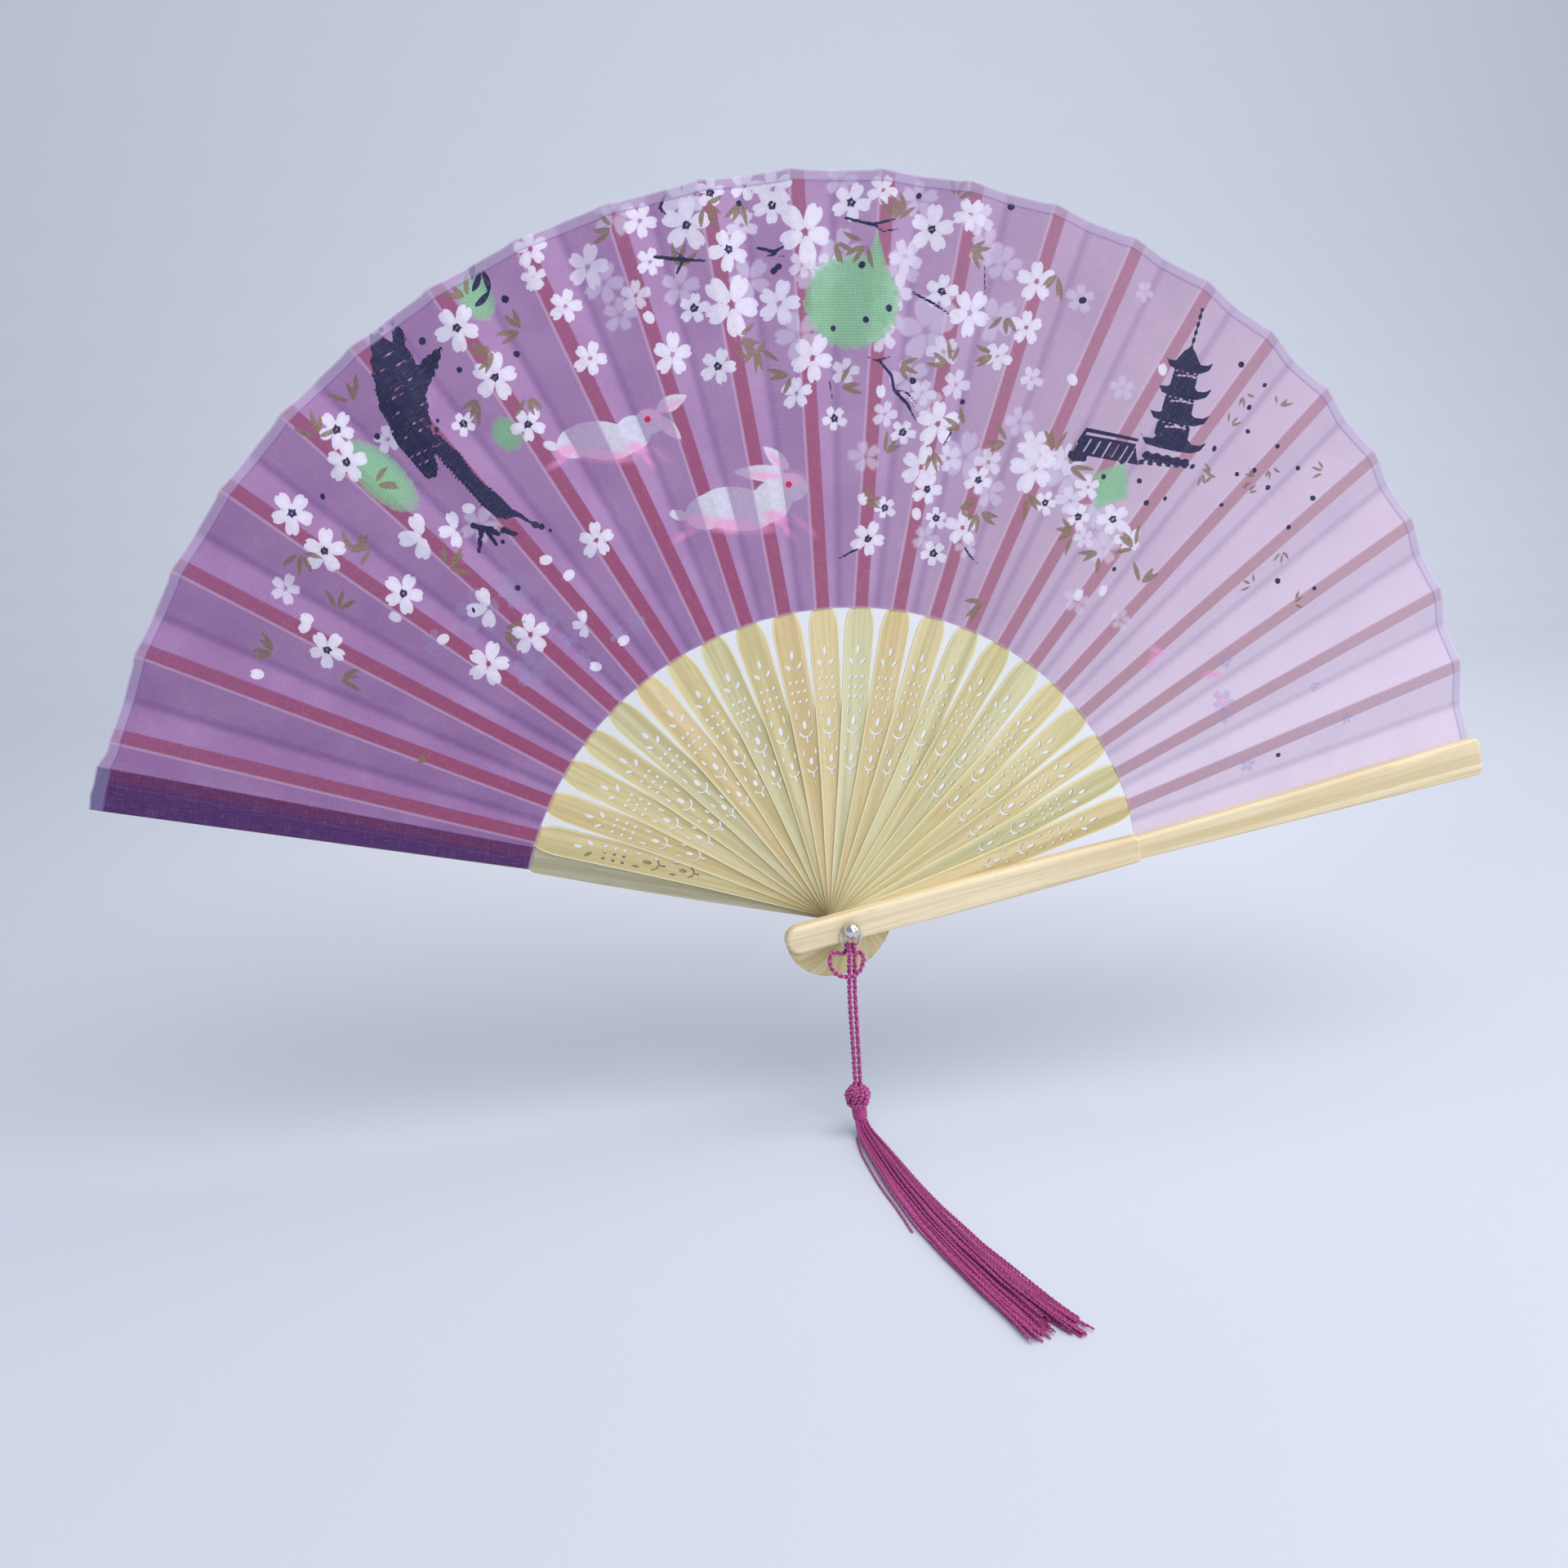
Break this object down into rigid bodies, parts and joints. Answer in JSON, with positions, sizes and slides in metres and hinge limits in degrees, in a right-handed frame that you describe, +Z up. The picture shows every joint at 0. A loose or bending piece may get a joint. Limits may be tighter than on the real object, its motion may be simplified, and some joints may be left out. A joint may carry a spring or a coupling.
{
  "type": "folding fan",
  "caption": "Pleated folding fan with pierced flat sticks on one rivet, a printed cloth leaf, two guards and a hanging tassel.",
  "frame": {"origin": "on the rivet's axis, level with the front guard's inner face", "axes": "+Y along the rivet from the front guard to the back guard, +Z up through the middle of the open fan, +X towards the front guard's tip"},
  "size_m": [0.3762, 0.1179, 0.2497],
  "materials": {
    "guard_bamboo": "satin",
    "stick_bamboo": "satin",
    "leaf_cloth": "matt woven cloth, printed",
    "rivet_metal": "polished",
    "bail_metal": "polished wire",
    "tassel_silk": "silky thread"
  },
  "bodies": {
    "front_guard": {"front_guard": "guard_bamboo", "rivet_pin": "rivet_metal", "rivet_head": "rivet_metal", "tassel_cord": "tassel_silk", "tassel_knot": "tassel_silk", "tassel_neck": "tassel_silk", "tassel_skirt": "tassel_silk", "tassel_thread": "tassel_silk", "leaf_22": "leaf_cloth"},
    "stick_22": {"stick_22": "stick_bamboo", "leaf_21": "leaf_cloth"},
    "stick_21": {"stick_21": "stick_bamboo", "leaf_20": "leaf_cloth"},
    "stick_20": {"stick_20": "stick_bamboo", "leaf_19": "leaf_cloth"},
    "stick_19": {"stick_19": "stick_bamboo", "leaf_18": "leaf_cloth"},
    "stick_18": {"stick_18": "stick_bamboo", "leaf_17": "leaf_cloth"},
    "stick_17": {"stick_17": "stick_bamboo", "leaf_16": "leaf_cloth"},
    "stick_16": {"stick_16": "stick_bamboo", "leaf_15": "leaf_cloth"},
    "stick_15": {"stick_15": "stick_bamboo", "leaf_14": "leaf_cloth"},
    "stick_14": {"stick_14": "stick_bamboo", "leaf_13": "leaf_cloth"},
    "stick_13": {"stick_13": "stick_bamboo", "leaf_12": "leaf_cloth"},
    "stick_12": {"stick_12": "stick_bamboo", "leaf_11": "leaf_cloth"},
    "stick_11": {"stick_11": "stick_bamboo", "leaf_10": "leaf_cloth"},
    "stick_10": {"stick_10": "stick_bamboo", "leaf_09": "leaf_cloth"},
    "stick_09": {"stick_09": "stick_bamboo", "leaf_08": "leaf_cloth"},
    "stick_08": {"stick_08": "stick_bamboo", "leaf_07": "leaf_cloth"},
    "stick_07": {"stick_07": "stick_bamboo", "leaf_06": "leaf_cloth"},
    "stick_06": {"stick_06": "stick_bamboo", "leaf_05": "leaf_cloth"},
    "stick_05": {"stick_05": "stick_bamboo", "leaf_04": "leaf_cloth"},
    "stick_04": {"stick_04": "stick_bamboo", "leaf_03": "leaf_cloth"},
    "stick_03": {"stick_03": "stick_bamboo", "leaf_02": "leaf_cloth"},
    "stick_02": {"stick_02": "stick_bamboo", "leaf_01": "leaf_cloth"},
    "stick_01": {"stick_01": "stick_bamboo", "leaf_00": "leaf_cloth"},
    "back_guard": {"back_guard": "guard_bamboo"},
    "bail": {"bail_ring": "bail_metal"}
  },
  "joints": [
    {"name": "fan_fold", "type": "hinge", "parent": "front_guard", "child": "stick_22", "pos_m": [0, 0, 0], "axis": [0, -1, 0], "range_deg": [-8.52, 0], "deforming": ["leaf_22"]},
    {"name": "stick_21_turn", "type": "hinge", "parent": "stick_22", "child": "stick_21", "pos_m": [0, 0, 0], "axis": [0, -1, 0], "range_deg": [-6.78, 0], "deforming": ["leaf_21"]},
    {"name": "stick_20_turn", "type": "hinge", "parent": "stick_21", "child": "stick_20", "pos_m": [0, 0, 0], "axis": [0, -1, 0], "range_deg": [-6.78, 0], "deforming": ["leaf_20"]},
    {"name": "stick_19_turn", "type": "hinge", "parent": "stick_20", "child": "stick_19", "pos_m": [0, 0, 0], "axis": [0, -1, 0], "range_deg": [-6.78, 0], "deforming": ["leaf_19"]},
    {"name": "stick_18_turn", "type": "hinge", "parent": "stick_19", "child": "stick_18", "pos_m": [0, 0, 0], "axis": [0, -1, 0], "range_deg": [-6.78, 0], "deforming": ["leaf_18"]},
    {"name": "stick_17_turn", "type": "hinge", "parent": "stick_18", "child": "stick_17", "pos_m": [0, 0, 0], "axis": [0, -1, 0], "range_deg": [-6.78, 0], "deforming": ["leaf_17"]},
    {"name": "stick_16_turn", "type": "hinge", "parent": "stick_17", "child": "stick_16", "pos_m": [0, 0, 0], "axis": [0, -1, 0], "range_deg": [-6.78, 0], "deforming": ["leaf_16"]},
    {"name": "stick_15_turn", "type": "hinge", "parent": "stick_16", "child": "stick_15", "pos_m": [0, 0, 0], "axis": [0, -1, 0], "range_deg": [-6.78, 0], "deforming": ["leaf_15"]},
    {"name": "stick_14_turn", "type": "hinge", "parent": "stick_15", "child": "stick_14", "pos_m": [0, 0, 0], "axis": [0, -1, 0], "range_deg": [-6.78, 0], "deforming": ["leaf_14"]},
    {"name": "stick_13_turn", "type": "hinge", "parent": "stick_14", "child": "stick_13", "pos_m": [0, 0, 0], "axis": [0, -1, 0], "range_deg": [-6.78, 0], "deforming": ["leaf_13"]},
    {"name": "stick_12_turn", "type": "hinge", "parent": "stick_13", "child": "stick_12", "pos_m": [0, 0, 0], "axis": [0, -1, 0], "range_deg": [-6.78, 0], "deforming": ["leaf_12"]},
    {"name": "stick_11_turn", "type": "hinge", "parent": "stick_12", "child": "stick_11", "pos_m": [0, 0, 0], "axis": [0, -1, 0], "range_deg": [-6.78, 0], "deforming": ["leaf_11"]},
    {"name": "stick_10_turn", "type": "hinge", "parent": "stick_11", "child": "stick_10", "pos_m": [0, 0, 0], "axis": [0, -1, 0], "range_deg": [-6.78, 0], "deforming": ["leaf_10"]},
    {"name": "stick_09_turn", "type": "hinge", "parent": "stick_10", "child": "stick_09", "pos_m": [0, 0, 0], "axis": [0, -1, 0], "range_deg": [-6.78, 0], "deforming": ["leaf_09"]},
    {"name": "stick_08_turn", "type": "hinge", "parent": "stick_09", "child": "stick_08", "pos_m": [0, 0, 0], "axis": [0, -1, 0], "range_deg": [-6.78, 0], "deforming": ["leaf_08"]},
    {"name": "stick_07_turn", "type": "hinge", "parent": "stick_08", "child": "stick_07", "pos_m": [0, 0, 0], "axis": [0, -1, 0], "range_deg": [-6.78, 0], "deforming": ["leaf_07"]},
    {"name": "stick_06_turn", "type": "hinge", "parent": "stick_07", "child": "stick_06", "pos_m": [0, 0, 0], "axis": [0, -1, 0], "range_deg": [-6.78, 0], "deforming": ["leaf_06"]},
    {"name": "stick_05_turn", "type": "hinge", "parent": "stick_06", "child": "stick_05", "pos_m": [0, 0, 0], "axis": [0, -1, 0], "range_deg": [-6.78, 0], "deforming": ["leaf_05"]},
    {"name": "stick_04_turn", "type": "hinge", "parent": "stick_05", "child": "stick_04", "pos_m": [0, 0, 0], "axis": [0, -1, 0], "range_deg": [-6.78, 0], "deforming": ["leaf_04"]},
    {"name": "stick_03_turn", "type": "hinge", "parent": "stick_04", "child": "stick_03", "pos_m": [0, 0, 0], "axis": [0, -1, 0], "range_deg": [-6.78, 0], "deforming": ["leaf_03"]},
    {"name": "stick_02_turn", "type": "hinge", "parent": "stick_03", "child": "stick_02", "pos_m": [0, 0, 0], "axis": [0, -1, 0], "range_deg": [-6.78, 0], "deforming": ["leaf_02"]},
    {"name": "stick_01_turn", "type": "hinge", "parent": "stick_02", "child": "stick_01", "pos_m": [0, 0, 0], "axis": [0, -1, 0], "range_deg": [-6.78, 0], "deforming": ["leaf_01"]},
    {"name": "back_guard_turn", "type": "hinge", "parent": "stick_01", "child": "back_guard", "pos_m": [0, 0, 0], "axis": [0, -1, 0], "range_deg": [-4.23, 0], "deforming": ["leaf_00"]},
    {"name": "bail_swing", "type": "hinge", "parent": "front_guard", "child": "bail", "pos_m": [0, 0, 0], "axis": [0, -1, 0], "range_deg": [-20, 20], "deforming": ["tassel_cord"]}
  ],
  "couplings": [
    {"joint": "stick_21_turn", "follows": "fan_fold", "ratio": 0.79612},
    {"joint": "stick_20_turn", "follows": "fan_fold", "ratio": 0.79612},
    {"joint": "stick_19_turn", "follows": "fan_fold", "ratio": 0.79612},
    {"joint": "stick_18_turn", "follows": "fan_fold", "ratio": 0.79612},
    {"joint": "stick_17_turn", "follows": "fan_fold", "ratio": 0.79612},
    {"joint": "stick_16_turn", "follows": "fan_fold", "ratio": 0.79612},
    {"joint": "stick_15_turn", "follows": "fan_fold", "ratio": 0.79612},
    {"joint": "stick_14_turn", "follows": "fan_fold", "ratio": 0.79612},
    {"joint": "stick_13_turn", "follows": "fan_fold", "ratio": 0.79612},
    {"joint": "stick_12_turn", "follows": "fan_fold", "ratio": 0.79612},
    {"joint": "stick_11_turn", "follows": "fan_fold", "ratio": 0.79612},
    {"joint": "stick_10_turn", "follows": "fan_fold", "ratio": 0.79612},
    {"joint": "stick_09_turn", "follows": "fan_fold", "ratio": 0.79612},
    {"joint": "stick_08_turn", "follows": "fan_fold", "ratio": 0.79612},
    {"joint": "stick_07_turn", "follows": "fan_fold", "ratio": 0.79612},
    {"joint": "stick_06_turn", "follows": "fan_fold", "ratio": 0.79612},
    {"joint": "stick_05_turn", "follows": "fan_fold", "ratio": 0.79612},
    {"joint": "stick_04_turn", "follows": "fan_fold", "ratio": 0.79612},
    {"joint": "stick_03_turn", "follows": "fan_fold", "ratio": 0.79612},
    {"joint": "stick_02_turn", "follows": "fan_fold", "ratio": 0.79612},
    {"joint": "stick_01_turn", "follows": "fan_fold", "ratio": 0.79612},
    {"joint": "back_guard_turn", "follows": "fan_fold", "ratio": 0.4963}
  ]
}
